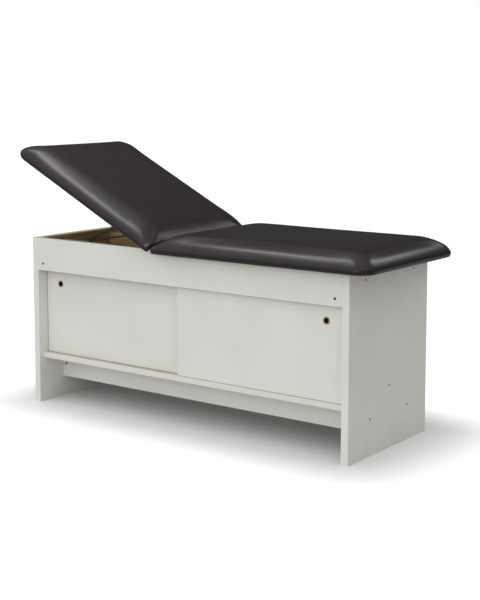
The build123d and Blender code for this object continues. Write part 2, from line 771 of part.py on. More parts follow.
for label, along in (("prop_pivot_rod", 0.0), ("prop_foot_rod", prop_length)):
    with BuildPart() as prop_rod:
        with BuildSketch(prop_side):
            with Locations((along, 0)):
                Circle(prop_rod_radius)
        extrude(amount=rod_half_length, both=True)
        chamfer(prop_rod.edges().filter_by(GeomType.CIRCLE), prop_rod_end_chamfer)
    finish(prop_rod, label)

# ================================================================ cabinet screws
pan_screws("end_screws_head", head_face, end_screws, screw_length)
pan_screws("end_screws_foot", foot_face, end_screws, screw_length)
pan_screws("apron_screws", front_face, apron_screw_points, screw_length)
pan_screws("toe_board_screws", toe_face, toe_screw_points, short_screw_length)
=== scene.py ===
"""Looks of a medical exam table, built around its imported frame.

Every length is in metres in the frame's own axes: +X from head end to foot end, +Y from the
door side to the rear, +Z up. Sizes that belong to a maker's drawing are written in millimetres
and turned by mm().
"""

import json
import logging
import math
from dataclasses import dataclass, field
from enum import Enum
from typing import Iterable, Sequence

import bmesh
import bpy
from mathutils import Matrix, Quaternion, Vector


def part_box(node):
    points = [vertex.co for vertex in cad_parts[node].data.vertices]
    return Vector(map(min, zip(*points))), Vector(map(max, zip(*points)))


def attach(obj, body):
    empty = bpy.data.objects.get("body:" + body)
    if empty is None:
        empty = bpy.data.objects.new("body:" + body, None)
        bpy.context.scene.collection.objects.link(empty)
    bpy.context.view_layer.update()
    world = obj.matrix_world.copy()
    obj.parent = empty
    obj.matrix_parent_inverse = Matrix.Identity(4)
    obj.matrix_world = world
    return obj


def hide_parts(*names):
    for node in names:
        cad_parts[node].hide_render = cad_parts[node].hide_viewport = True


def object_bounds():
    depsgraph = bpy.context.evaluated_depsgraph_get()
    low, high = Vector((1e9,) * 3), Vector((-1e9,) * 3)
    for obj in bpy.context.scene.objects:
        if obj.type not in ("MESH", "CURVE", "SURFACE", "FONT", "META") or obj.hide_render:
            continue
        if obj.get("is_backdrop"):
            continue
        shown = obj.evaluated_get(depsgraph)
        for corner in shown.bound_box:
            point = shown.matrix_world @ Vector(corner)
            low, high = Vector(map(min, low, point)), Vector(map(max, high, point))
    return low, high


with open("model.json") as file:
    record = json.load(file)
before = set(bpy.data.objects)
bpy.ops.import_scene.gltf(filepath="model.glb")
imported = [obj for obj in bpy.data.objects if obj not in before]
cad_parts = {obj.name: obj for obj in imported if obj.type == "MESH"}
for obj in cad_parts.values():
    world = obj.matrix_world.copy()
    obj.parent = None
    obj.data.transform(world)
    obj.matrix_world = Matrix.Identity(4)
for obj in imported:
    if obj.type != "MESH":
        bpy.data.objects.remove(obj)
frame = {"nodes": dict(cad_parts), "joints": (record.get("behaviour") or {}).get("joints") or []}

log = logging.getLogger("exam_table")

IMAGE_HEIGHT = 600


def mm(value: float) -> float:
    """Millimetres to metres."""
    return value / 1000.0


def linear(hex_colour: str) -> tuple[float, float, float, float]:
    """Turn an sRGB hex colour into linear RGBA.

    Args:
        hex_colour: six hex digits after a hash, such as "#DEDED8".

    Returns:
        Red, green, blue and an alpha of 1, in linear light.
    """
    channels = []
    for start in (1, 3, 5):
        value = int(hex_colour[start : start + 2], 16) / 255.0
        channels.append(value / 12.92 if value <= 0.04045 else ((value + 0.055) / 1.055) ** 2.4)
    return (channels[0], channels[1], channels[2], 1.0)


def smoothstep(low: float, high: float, value: float) -> float:
    """Ease from 0 at low to 1 at high."""
    share = min(1.0, max(0.0, (value - low) / (high - low)))
    return share * share * (3.0 - 2.0 * share)


# ---------------------------------------------------------------- finishes


def add_node(
    tree: bpy.types.NodeTree,
    kind: str,
    attributes: dict | None = None,
    values: dict | None = None,
    links: dict | None = None,
) -> bpy.types.Node:
    """Add one node with its settings and the links that feed it.

    Args:
        tree: the node tree that gets the node.
        kind: the node's type, such as "ShaderNodeTexNoise".
        attributes: the node's own settings by name.
        values: unlinked input values by socket name or number.
        links: output sockets that feed this node's inputs, by socket name or number.

    Returns:
        The new node.
    """
    node = tree.nodes.new(kind)
    for name, value in (attributes or {}).items():
        setattr(node, name, value)
    for name, value in (values or {}).items():
        node.inputs[name].default_value = value
    for name, socket in (links or {}).items():
        tree.links.new(socket, node.inputs[name])
    return node


class Grain(Enum):
    """The way that a board's grain runs in the frame."""

    ALONG_X = (1.0, 0.0, 0.0)
    ALONG_Y = (0.0, 1.0, 0.0)
    ALONG_Z = (0.0, 0.0, 1.0)


class Side(Enum):
    """The side of a level on which a board's raw wood shows."""

    REAR_OF = "GREATER_THAN"
    FRONT_OF = "LESS_THAN"


@dataclass(frozen=True)
class RawFace:
    """A board face with no laminate on it, found by its level along Y."""

    level: float
    side: Side


@dataclass
class Shader:
    """A material under construction: its tree, its object coordinates and its surface node."""

    name: str
    material: bpy.types.Material = field(init=False)
    tree: bpy.types.NodeTree = field(init=False)
    place: bpy.types.NodeSocket = field(init=False)
    surface: bpy.types.Node = field(init=False)

    def __post_init__(self) -> None:
        """Make the material with object coordinates and a principled surface."""
        self.material = bpy.data.materials.new(self.name)
        self.material.use_nodes = True
        self.tree = self.material.node_tree
        self.tree.nodes.clear()
        coordinates = add_node(self.tree, "ShaderNodeTexCoord")
        self.place = coordinates.outputs["Object"]
        self.surface = add_node(self.tree, "ShaderNodeBsdfPrincipled")
        add_node(
            self.tree,
            "ShaderNodeOutputMaterial",
            links={"Surface": self.surface.outputs["BSDF"]},
        )

    def set(self, **values: float | tuple) -> None:
        """Set constant values on the surface's own sockets, named with underscores for spaces."""
        for name, value in values.items():
            self.surface.inputs[name.replace("_", " ")].default_value = value

    def feed(self, **sockets: bpy.types.NodeSocket) -> None:
        """Link sockets to the surface's inputs, named with underscores for spaces."""
        for name, socket in sockets.items():
            self.tree.links.new(socket, self.surface.inputs[name.replace("_", " ")])

    def noise(
        self,
        spacing: float,
        detail: float = 2.0,
        stretch: Sequence[float] = (1.0, 1.0, 1.0),
        roughness: float = 0.5,
    ) -> bpy.types.NodeSocket:
        """Noise whose features repeat at a real spacing.

        Args:
            spacing: distance between features in metres.
            detail: octaves of finer noise on top.
            stretch: how many times longer features are along each axis.
            roughness: weight of the finer octaves.

        Returns:
            The noise's factor socket.
        """
        scaled = add_node(
            self.tree,
            "ShaderNodeMapping",
            values={"Scale": tuple(1.0 / (spacing * share) for share in stretch)},
            links={"Vector": self.place},
        )
        texture = add_node(
            self.tree,
            "ShaderNodeTexNoise",
            values={"Scale": 1.0, "Detail": detail, "Roughness": roughness},
            links={"Vector": scaled.outputs["Vector"]},
        )
        return texture.outputs["Fac"]

    def cells(self, spacing: float, smoothness: float) -> bpy.types.NodeSocket:
        """Rounded pebble cells of a real size, as a distance that is 0 at each cell's middle.

        Args:
            spacing: distance between cells in metres.
            smoothness: how softly neighbouring cells run together, from 0 to 1.

        Returns:
            The distance socket.
        """
        scaled = add_node(
            self.tree,
            "ShaderNodeMapping",
            values={"Scale": (1.0 / spacing,) * 3},
            links={"Vector": self.place},
        )
        texture = add_node(
            self.tree,
            "ShaderNodeTexVoronoi",
            attributes={"feature": "SMOOTH_F1"},
            values={"Scale": 1.0, "Smoothness": smoothness},
            links={"Vector": scaled.outputs["Vector"]},
        )
        return texture.outputs["Distance"]

    def spread(
        self, factor: bpy.types.NodeSocket, low: float, high: float
    ) -> bpy.types.NodeSocket:
        """Map a 0 to 1 factor to a range of values.

        Args:
            factor: the factor.
            low: the value at 0.
            high: the value at 1.

        Returns:
            The value's socket.
        """
        node = add_node(
            self.tree,
            "ShaderNodeMapRange",
            values={"To Min": low, "To Max": high},
            links={"Value": factor},
        )
        return node.outputs["Result"]

    def between(
        self, factor: bpy.types.NodeSocket, stops: Sequence[tuple[float, str]]
    ) -> bpy.types.NodeSocket:
        """Colour a factor through hex colour stops.

        Args:
            factor: the factor to colour.
            stops: pairs of a place from 0 to 1 and a hex colour.

        Returns:
            The colour socket.
        """
        node = add_node(self.tree, "ShaderNodeValToRGB", links={"Fac": factor})
        ramp = node.color_ramp
        while len(ramp.elements) < len(stops):
            ramp.elements.new(0.5)
        for element, (place, colour) in zip(ramp.elements, stops):
            element.position = place
            element.color = linear(colour)
        return node.outputs["Color"]

    def bump(
        self,
        height: bpy.types.NodeSocket,
        depth: float,
        under: bpy.types.NodeSocket | None = None,
    ) -> bpy.types.NodeSocket:
        """Raise a height map.

        Args:
            height: the map.
            depth: its real depth in metres.
            under: the normal of another bump that this one lies on, or None.

        Returns:
            The normal's socket.
        """
        node = add_node(
            self.tree, "ShaderNodeBump", values={"Strength": 1.0, "Distance": depth}, links={"Height": height}
        )
        if under is not None:
            self.tree.links.new(under, node.inputs["Normal"])
        return node.outputs["Normal"]


@dataclass(frozen=True)
class MelamineLaminate:
    """Particle board pressed between sheets of off-white melamine.

    The press plate leaves a very fine pearl texture, so light rolls over the board softly and
    its highlights are broad and dull.
    """

    colour: str = "#E3E3DD"
    shade: str = "#DDDDD6"
    raw_light: str = "#B39C78"
    raw_dark: str = "#94795A"
    pearl_spacing: float = mm(1.6)  # 0.6 mm on the real sheet, drawn coarser so that it shows
    tone_spacing: float = mm(260.0)

    def material(self, raw: RawFace | None = None) -> bpy.types.Material:
        """Build the laminate.

        Args:
            raw: a face that shows bare board in place of the laminate, or None.

        Returns:
            The material.
        """
        shader = Shader("melamine_laminate_pressed" + ("_raw_back" if raw else ""))
        tone = shader.between(
            shader.noise(self.tone_spacing, detail=3.0), [(0.3, self.shade), (0.7, self.colour)]
        )
        if raw is not None:
            tone = self._with_raw_face(shader, tone, raw)
        pearl = shader.noise(self.pearl_spacing, detail=3.0)
        shader.feed(
            Base_Color=tone,
            Roughness=shader.spread(shader.noise(mm(35.0)), 0.40, 0.52),
            Normal=shader.bump(pearl, mm(0.05)),
        )
        shader.set(IOR=1.5)
        return shader.material

    def _with_raw_face(
        self, shader: Shader, laminate: bpy.types.NodeSocket, raw: RawFace
    ) -> bpy.types.NodeSocket:
        """Show bare board on one face, found by its level along Y.

        Args:
            shader: the laminate under construction.
            laminate: the laminate's colour.
            raw: the face.

        Returns:
            The colour socket of the two together.
        """
        apart = add_node(shader.tree, "ShaderNodeSeparateXYZ", links={"Vector": shader.place})
        beyond = add_node(
            shader.tree,
            "ShaderNodeMath",
            attributes={"operation": raw.side.value},
            values={1: raw.level},
            links={0: apart.outputs["Y"]},
        )
        grain = shader.noise(mm(5.0), detail=4.0, stretch=(28.0, 1.0, 1.0))
        board = shader.between(grain, [(0.3, self.raw_dark), (0.7, self.raw_light)])
        mixed = add_node(
            shader.tree,
            "ShaderNodeMix",
            attributes={"data_type": "RGBA"},
            links={0: beyond.outputs["Value"], 6: laminate, 7: board},
        )
        return mixed.outputs[2]


@dataclass(frozen=True)
class PvcEdgeBand:
    """Warm white PVC band, extruded and glued to the shelf's edge: smoother than the boards."""

    colour: str = "#E4E0D8"
    shade: str = "#DDD9D0"

    def material(self) -> bpy.types.Material:
        """Build the band."""
        shader = Shader("pvc_edge_band_extruded")
        streaks = shader.noise(mm(3.0), stretch=(60.0, 1.0, 1.0))
        shader.feed(
            Base_Color=shader.between(streaks, [(0.3, self.shade), (0.7, self.colour)]),
            Normal=shader.bump(streaks, mm(0.03)),
        )
        shader.set(IOR=1.53, Roughness=0.34)
        return shader.material


@dataclass(frozen=True)
class SawnPoplar:
    """Poplar rails, sawn and planed: tan, matte, with long soft grain and darker streaks."""

    light: str = "#B8A078"
    middle: str = "#A18760"
    dark: str = "#7E6646"
    ring_spacing: float = mm(7.0)

    def material(self, grain: Grain) -> bpy.types.Material:
        """Build the wood.

        Args:
            grain: the way that the grain runs.

        Returns:
            The material.
        """
        shader = Shader(f"poplar_planed_{grain.name.lower()}")
        stretch = tuple(24.0 if share else 1.0 for share in grain.value)
        rings = shader.noise(self.ring_spacing, detail=5.0, stretch=stretch, roughness=0.62)
        pores = shader.noise(mm(1.4), detail=2.0, stretch=stretch)
        shader.feed(
            Base_Color=shader.between(rings, [(0.28, self.dark), (0.5, self.middle), (0.72, self.light)]),
            Roughness=shader.spread(rings, 0.78, 0.60),
            Normal=shader.bump(pores, mm(0.12)),
        )
        shader.set(IOR=1.5, Specular_IOR_Level=0.3)
        return shader.material


@dataclass(frozen=True)
class RotaryPlywood:
    """Birch plywood of the top's two boards: pale rotary-cut face with wide wavy grain."""

    light: str = "#C7AC82"
    middle: str = "#B7986B"
    dark: str = "#9C7E55"

    def material(self) -> bpy.types.Material:
        """Build the plywood."""
        shader = Shader("birch_plywood_rotary_cut")
        waves = shader.noise(mm(30.0), detail=4.0, stretch=(9.0, 1.0, 9.0), roughness=0.6)
        fibres = shader.noise(mm(2.0), detail=2.0, stretch=(30.0, 1.0, 30.0))
        shader.feed(
            Base_Color=shader.between(waves, [(0.3, self.dark), (0.52, self.middle), (0.75, self.light)]),
            Normal=shader.bump(fibres, mm(0.1)),
        )
        shader.set(IOR=1.5, Roughness=0.66, Specular_IOR_Level=0.3)
        return shader.material


@dataclass(frozen=True)
class UpholsteryVinyl:
    """Expanded vinyl on a knit backing, embossed with a fine leather grain and pulled tight.

    The skin is near black with a warm cast. Its low sheen draws long soft highlights along the
    rolled edges, and the grain breaks them up.
    """

    slot: str = "vinyl"
    colour: str = "#20171A"
    shade: str = "#1B1416"
    pebble: float = mm(2.6)  # 1 mm on the real vinyl, drawn coarser so that it shows
    drift: float = mm(90.0)

    def material(self) -> bpy.types.Material:
        """Build the vinyl."""
        shader = Shader("upholstery_vinyl_embossed")
        drift = shader.noise(self.drift, detail=2.0)
        pebbles = shader.cells(self.pebble, 0.5)
        creases = shader.noise(mm(1.7), detail=2.0)
        normal = shader.bump(shader.noise(mm(70.0), detail=1.0), mm(0.5))
        normal = shader.bump(pebbles, mm(0.10), under=normal)
        normal = shader.bump(creases, mm(0.05), under=normal)
        shader.feed(
            Base_Color=shader.between(drift, [(0.3, self.shade), (0.7, self.colour)]),
            Roughness=shader.spread(pebbles, 0.27, 0.36),
            Normal=normal,
        )
        shader.set(IOR=1.5, Specular_IOR_Level=0.30, Sheen_Weight=0.01, Sheen_Roughness=0.5)
        return shader.material


@dataclass(frozen=True)
class PowderCoatedSteel:
    """Pressed steel with a baked black powder coat: satin, with a slight orange peel."""

    colour: str = "#262725"
    worn: str = "#3A3B38"

    def material(self) -> bpy.types.Material:
        """Build the coat."""
        shader = Shader("steel_powder_coated_black")
        peel = shader.noise(mm(1.8), detail=1.0)
        handling = shader.noise(mm(14.0), detail=4.0)
        shader.feed(
            Base_Color=shader.between(handling, [(0.55, self.colour), (0.8, self.worn)]),
            Roughness=shader.spread(handling, 0.36, 0.52),
            Normal=shader.bump(peel, mm(0.06)),
        )
        shader.set(IOR=1.5)
        return shader.material


@dataclass(frozen=True)
class ZincPlatedSteel:
    """Turned steel with bright zinc plate: grey metal with cloudy patches and turning marks."""

    slot: str = "zinc_steel"
    colour: str = "#B4B6B9"
    cloud: str = "#94969A"

    def material(self) -> bpy.types.Material:
        """Build the plate."""
        shader = Shader("steel_zinc_plated")
        clouds = shader.noise(mm(4.0), detail=4.0)
        shader.feed(
            Base_Color=shader.between(clouds, [(0.3, self.cloud), (0.7, self.colour)]),
            Roughness=shader.spread(clouds, 0.30, 0.46),
            Normal=shader.bump(shader.noise(mm(0.8)), mm(0.02)),
        )
        shader.set(Metallic=1.0)
        return shader.material


@dataclass(frozen=True)
class BlackOxideSteel:
    """Steel screws blackened in an oxide bath: dark metal that still glints on its edges."""

    slot: str = "black_oxide"
    colour: str = "#4A4A4B"
    dark: str = "#2E2E30"

    def material(self) -> bpy.types.Material:
        """Build the oxide."""
        shader = Shader("steel_black_oxide")
        clouds = shader.noise(mm(2.5), detail=3.0)
        shader.feed(
            Base_Color=shader.between(clouds, [(0.3, self.dark), (0.7, self.colour)]),
            Normal=shader.bump(shader.noise(mm(0.7)), mm(0.02)),
        )
        shader.set(Metallic=1.0, Roughness=0.38)
        return shader.material


@dataclass(frozen=True)
class LacqueredBrass:
    """Brass cups spun from sheet and lacquered: yellow metal, glossy, with fine spun rings."""

    colour: str = "#CDB27A"
    dark: str = "#B39556"
    # a dark brown painted into the cup as shade, reached deep behind the rim
    cup_shade: str = "#3C3018"

    def material(self, face: float) -> bpy.types.Material:
        """Build the brass.

        Args:
            face: the level of the cup's rim along Y; the brass is painted darker with depth behind it, as
                shade inside the cup.

        Returns:
            The material.
        """
        shader = Shader("brass_spun_lacquered")
        tarnish = shader.noise(mm(3.0), detail=4.0)
        bright = shader.between(tarnish, [(0.25, self.dark), (0.6, self.colour)])
        # Painted shade: behind the rim the brass fades to the dark brown with depth, standing in for the
        # shade inside the cup.
        apart = add_node(shader.tree, "ShaderNodeSeparateXYZ", links={"Vector": shader.place})
        depth = add_node(
            shader.tree,
            "ShaderNodeMapRange",
            values={"From Min": face + mm(1.0), "From Max": face + mm(9.0)},
            links={"Value": apart.outputs["Y"]},
        )
        mixed = add_node(
            shader.tree,
            "ShaderNodeMix",
            attributes={"data_type": "RGBA"},
            values={7: linear(self.cup_shade)},
            links={0: depth.outputs["Result"], 6: bright},
        )
        shader.feed(
            Base_Color=mixed.outputs[2],
            Roughness=shader.spread(tarnish, 0.20, 0.32),
            Normal=shader.bump(shader.noise(mm(0.9)), mm(0.02)),
        )
        shader.set(Metallic=1.0)
        return shader.material


@dataclass(frozen=True)
class ExtrudedPolystyrene:
    """Door tracks and glides, extruded in warm grey styrene: satin, with draw lines along X."""

    colour: str = "#CFCCC2"
    shade: str = "#C2BFB4"

    def material(self) -> bpy.types.Material:
        """Build the styrene."""
        shader = Shader("polystyrene_extruded")
        lines = shader.noise(mm(1.2), stretch=(120.0, 1.0, 1.0))
        shader.feed(
            Base_Color=shader.between(lines, [(0.3, self.shade), (0.7, self.colour)]),
            Normal=shader.bump(lines, mm(0.04)),
        )
        shader.set(IOR=1.59, Roughness=0.40)
        return shader.material


@dataclass(frozen=True)
class MouldedRubber:
    """Door buffers moulded in dark rubber: matte and slightly dusty."""

    colour: str = "#383634"
    dust: str = "#4B4946"

    def material(self) -> bpy.types.Material:
        """Build the rubber."""
        shader = Shader("rubber_moulded")
        dust = shader.noise(mm(3.0), detail=4.0)
        shader.feed(
            Base_Color=shader.between(dust, [(0.45, self.colour), (0.75, self.dust)]),
            Normal=shader.bump(shader.noise(mm(0.6)), mm(0.03)),
        )
        shader.set(IOR=1.52, Roughness=0.85)
        return shader.material


# ---------------------------------------------------------------- frame helpers


def node_object(name: str) -> bpy.types.Object:
    """The frame's object for a node."""
    return frame["nodes"][name]


def dress(names: Iterable[str], material: bpy.types.Material) -> None:
    """Give frame nodes a finish through their material slots.

    Args:
        names: the nodes.
        material: the finish that each of them gets.
    """
    for name in names:
        piece = node_object(name)
        if not piece.material_slots:
            piece.data.materials.append(material)
        for slot in piece.material_slots:
            slot.link = "OBJECT"
            slot.material = material
        log.info("dressed %s in %s", name, material.name)


def extent(points: Sequence[Sequence[float]]) -> tuple[Vector, Vector]:
    """The lowest and highest corners of some points."""
    low = Vector([min(point[axis] for point in points) for axis in range(3)])
    high = Vector([max(point[axis] for point in points) for axis in range(3)])
    return low, high


def islands(name: str) -> list[tuple[Vector, Vector]]:
    """The boxes of the separate solids in a node.

    Args:
        name: the node.

    Returns:
        One pair of lowest and highest corners for each solid, in a fixed order.
    """
    bm = bmesh.new()
    bm.from_mesh(node_object(name).data)
    bmesh.ops.remove_doubles(bm, verts=bm.verts[:], dist=mm(0.001))
    seen: set[int] = set()
    boxes = []
    bm.verts.ensure_lookup_table()
    for start in bm.verts:
        if start.index in seen:
            continue
        group, waiting = [], [start]
        seen.add(start.index)
        while waiting:
            vert = waiting.pop()
            group.append(vert.co.copy())
            for edge in vert.link_edges:
                other = edge.other_vert(vert)
                if other.index not in seen:
                    seen.add(other.index)
                    waiting.append(other)
        boxes.append(extent(group))
    bm.free()
    return sorted(boxes, key=lambda box: tuple(round(value, 5) for value in box[0]))


def piece_from(bm: bmesh.types.BMesh, name: str, material: bpy.types.Material) -> bpy.types.Object:
    """Turn a bmesh into a smooth-shaded piece with one finish.

    Args:
        bm: the mesh under construction, which is freed.
        name: the piece's name.
        material: its finish.

    Returns:
        The new object, linked to the scene.
    """
    bmesh.ops.recalc_face_normals(bm, faces=bm.faces[:])
    mesh = bpy.data.meshes.new(name)
    bm.to_mesh(mesh)
    bm.free()
    mesh.materials.append(material)
    for polygon in mesh.polygons:
        polygon.use_smooth = True
    piece = bpy.data.objects.new(name, mesh)
    bpy.context.scene.collection.objects.link(piece)
    return piece


def bridge(
    bm: bmesh.types.BMesh,
    first: Sequence[bmesh.types.BMVert],
    second: Sequence[bmesh.types.BMVert],
) -> None:
    """Join two closed loops of as many points with a band of faces.

    Args:
        bm: the mesh under construction.
        first: the loop that the band starts from.
        second: the loop that it ends on.
    """
    for k in range(len(first)):
        after = (k + 1) % len(first)
        bm.faces.new((first[k], first[after], second[after], second[k]))


@dataclass(frozen=True)
class Section:
    """The frame of one section of the top: its pin, the way along its board and its up."""

    body: str
    pin: Vector
    along: Vector
    up: Vector

    def place(self, along: float, across: float, up: float) -> Vector:
        """A point given along the board, across the table and square to the board."""
        return self.pin + self.along * along + Vector((0.0, across, 0.0)) + self.up * up

    def box(self, name: str) -> tuple[Vector, Vector]:
        """A node's box in the section's own axes.

        Args:
            name: the node.

        Returns:
            Its lowest and highest corners, measured along, across and up.
        """
        rows = []
        for vertex in node_object(name).data.vertices:
            step = vertex.co - self.pin
            rows.append((step.dot(self.along), step.y, step.dot(self.up)))
        return extent(rows)


def top_sections() -> tuple[Section, Section]:
    """Find the top's two frames from the joint between them.

    Returns:
        The seat's section and the backrest's.
    """
    joint = next(item for item in frame["joints"] if item["name"] == "backrest_tilt")
    pin = Vector(joint["pos_m"])
    rest = math.radians(-joint["range_deg"][0])
    seat = Section("cabinet", pin, Vector((1.0, 0.0, 0.0)), Vector((0.0, 0.0, 1.0)))
    along = Vector((-math.cos(rest), 0.0, math.sin(rest)))
    up = Vector((math.sin(rest), 0.0, math.cos(rest)))
    return seat, Section("backrest", pin, along, up)


# ---------------------------------------------------------------- upholstery


@dataclass(frozen=True)
class Ring:
    """One loop round a cushion below its crown: how far in from the outline, and its level."""

    inset: float
    level: float


@dataclass
class Cushion:
    """A foam pad under tight vinyl, wrapped round its board and stapled underneath."""

    name: str
    section: Section
    node: str
    board: str
    vinyl: bpy.types.Material
    far_corner: float = mm(72.0)
    hinge_corner: float = mm(16.0)
    side_roll: float = mm(120.0)
    end_roll: float = mm(140.0)
    hinge_roll: float = mm(140.0)
    shoulder: float = mm(1.0)
    corner_softness: float = 2.6
    middle_rise: float = mm(2.0)
    lip: float = mm(20.0)
    hinge_lip: float = mm(5.6)
    wrap_thickness: float = mm(1.1)
    wrap_width: float = mm(26.0)
    cell: float = mm(13.0)
    corner_cells: int = 4
    smallest_corner: float = mm(3.0)
    hinge_clearance: float = mm(3.2)
    pocket_gap: float = mm(0.3)
    swell_limit: float = mm(4.0)
    settle_frames: int = 20
    low: Vector = field(init=False)
    high: Vector = field(init=False)
    board_low: Vector = field(init=False)
    board_high: Vector = field(init=False)

    def build(self) -> bpy.types.Object:
        """Build the cushion, swell its skin and fix it to its section.

        Returns:
            The finished piece.
        """
        self.low, self.high = self.section.box(self.node)
        self.board_low, self.board_high = self.section.box(self.board)
        bm = bmesh.new()
        self._mesh(bm)
        piece = piece_from(bm, self.name, self.vinyl)
        self._settle(piece)
        self._subdivide(piece)
        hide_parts(self.node)
        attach(piece, self.section.body)
        log.info("%s: %d faces", self.name, len(piece.data.polygons))
        return piece

    def _lines(
        self, low: float, high: float, low_corner: float, high_corner: float
    ) -> list[tuple[int, float]]:
        """Grid lines across one direction.

        Args:
            low: the low end.
            high: the high end.
            low_corner: the radius at the low end.
            high_corner: the radius at the high end.

        Returns:
            A zone and a share of it for each line: 0 low corner, 1 straight, 2 high corner.
        """
        count = self.corner_cells
        straight = max(2, round((high - low - low_corner - high_corner) / self.cell))
        lines = [(0, i / count) for i in range(count)]
        lines += [(1, i / straight) for i in range(straight)]
        lines += [(2, i / count) for i in range(count + 1)]
        return lines

    @staticmethod
    def _at(
        line: tuple[int, float], low: float, high: float, low_corner: float, high_corner: float
    ) -> float:
        """The place of a grid line.

        Args:
            line: its zone and share.
            low: the low end.
            high: the high end.
            low_corner: the radius at the low end.
            high_corner: the radius at the high end.

        Returns:
            The place between the two ends.
        """
        zone, share = line
        if zone == 0:
            return low + low_corner * share
        if zone == 1:
            return low + low_corner + (high - low - low_corner - high_corner) * share
        return high - high_corner * (1.0 - share)

    def _plan(
        self, x_line: tuple[int, float], y_line: tuple[int, float], inset: float
    ) -> tuple[float, float]:
        """A grid point in plan, on a rounded rectangle drawn in by an inset.

        Args:
            x_line: the grid line along the board.
            y_line: the grid line across it.
            inset: how far the outline is drawn in; it is drawn in less at the hinge.

        Returns:
            The place along and across.
        """
        x_low = self.low.x + inset * self.hinge_lip / self.lip
        x_high = self.high.x - inset
        y_high = self.high.y - inset
        near = max(self.hinge_corner - inset, self.smallest_corner)
        far = max(self.far_corner - inset, self.smallest_corner)
        corner = near if x_line[0] == 0 else far
        x = self._at(x_line, x_low, x_high, near, far)
        y = self._at(y_line, -y_high, y_high, corner, corner)
        if x_line[0] != 1 and y_line[0] != 1:
            centre_x = x_low + near if x_line[0] == 0 else x_high - far
            centre_y = (y_high - corner) * (1 if y_line[0] == 2 else -1)
            across = (x - centre_x) / corner
            up = (y - centre_y) / corner
            x = centre_x + corner * across * math.sqrt(1.0 - up * up / 2.0)
            y = centre_y + corner * up * math.sqrt(1.0 - across * across / 2.0)
        return x, y

    def _crown(self, x: float, y: float) -> float:
        """The height of the foam.

        Args:
            x: the place along the board.
            y: the place across it.

        Returns:
            The height over the section's pin.
        """
        from_end = self.high.x - x
        from_hinge = x - self.low.x
        tx = max(0.0, 1.0 - from_end / self.end_roll, 1.0 - from_hinge / self.hinge_roll)
        ty = max(0.0, 1.0 - (self.high.y - abs(y)) / self.side_roll)
        power = self.corner_softness
        tx, ty = min(1.0, tx) ** power, min(1.0, ty) ** power
        edge = (tx + ty - tx * ty) ** (1.0 / power)
        middle = (1.0 - (2.0 * (x - self.low.x) / (self.high.x - self.low.x) - 1.0) ** 2) * (
            1.0 - (y / self.high.y) ** 2
        )
        roll = (self.high.z - self.middle_rise - self.shoulder) * math.sqrt(max(0.0, 1.0 - edge * edge))
        return self.shoulder + roll + self.middle_rise * middle

    def _rings(self) -> list[Ring]:
        """The loops below the crown.

        Returns:
            Rings from the crown's edge down the lip, round its lowest line, in under the board
            and up into the board's pocket.
        """
        low, under, top = self.low.z, self.board_low.z, self.board_high.z
        skin = under - self.wrap_thickness
        wrap_end = self.lip + self.wrap_width
        return [
            Ring(0.0, self.shoulder - mm(4.0)),
            Ring(mm(0.3), low + mm(12.0)),
            Ring(mm(1.2), low + mm(7.5)),
            Ring(mm(3.2), low + mm(3.4)),
            Ring(mm(6.5), low + mm(0.8)),
            Ring(mm(10.5), low),
            Ring(mm(15.0), low + mm(1.0)),
            Ring(mm(18.2), low + mm(3.8)),
            Ring(mm(20.2), low + mm(8.0)),
            Ring(mm(22.0), skin),
            Ring(mm(30.0), skin),
            Ring(wrap_end, skin),
            Ring(wrap_end + mm(0.6), under - mm(0.1)),
            Ring(self.lip + mm(2.0), under - mm(0.1)),
            Ring(self.lip + mm(0.2), under + mm(0.6)),
            Ring(self.lip + mm(0.2), top + self.pocket_gap),
        ]

    def _mesh(self, bm: bmesh.types.BMesh) -> None:
        """Lay the crown, the rings below it and the pocket's ceiling as one closed skin.

        Args:
            bm: the mesh under construction.
        """
        x_lines = self._lines(self.low.x, self.high.x, self.hinge_corner, self.far_corner)
        y_lines = self._lines(-self.high.y, self.high.y, self.far_corner, self.far_corner)
        rings = self._rings()
        crown, ceiling = {}, {}
        for i, x_line in enumerate(x_lines):
            for j, y_line in enumerate(y_lines):
                x, y = self._plan(x_line, y_line, 0.0)
                flat_x, flat_y = self._square(x_line, y_line)
                crown[i, j] = bm.verts.new(self.section.place(x, y, self._crown(flat_x, flat_y)))
        loop = self._boundary(len(x_lines), len(y_lines))
        above = [crown[key] for key in loop]
        for ring in rings:
            below = []
            for i, j in loop:
                x, y = self._plan(x_lines[i], y_lines[j], ring.inset)
                level = self._level(x, y, ring.level)
                below.append(bm.verts.new(self.section.place(x, y, level)))
            bridge(bm, above, below)
            above = below
        last = rings[-1]
        edge = dict(zip(loop, above))
        for i, x_line in enumerate(x_lines):
            for j, y_line in enumerate(y_lines):
                if (i, j) in edge:
                    ceiling[i, j] = edge[i, j]
                    continue
                x, y = self._plan(x_line, y_line, last.inset)
                ceiling[i, j] = bm.verts.new(self.section.place(x, y, last.level))
        for grid in (crown, ceiling):
            for i in range(len(x_lines) - 1):
                for j in range(len(y_lines) - 1):
                    bm.faces.new((grid[i, j], grid[i + 1, j], grid[i + 1, j + 1], grid[i, j + 1]))

    def _square(
        self, x_line: tuple[int, float], y_line: tuple[int, float]
    ) -> tuple[float, float]:
        """A grid point's place before its corner is rounded, which the crown is measured by.

        Args:
            x_line: the grid line along the board.
            y_line: the grid line across it.

        Returns:
            The place along and across.
        """
        corner = self.hinge_corner if x_line[0] == 0 else self.far_corner
        x = self._at(x_line, self.low.x, self.high.x, self.hinge_corner, self.far_corner)
        y = self._at(y_line, -self.high.y, self.high.y, corner, corner)
        return x, y

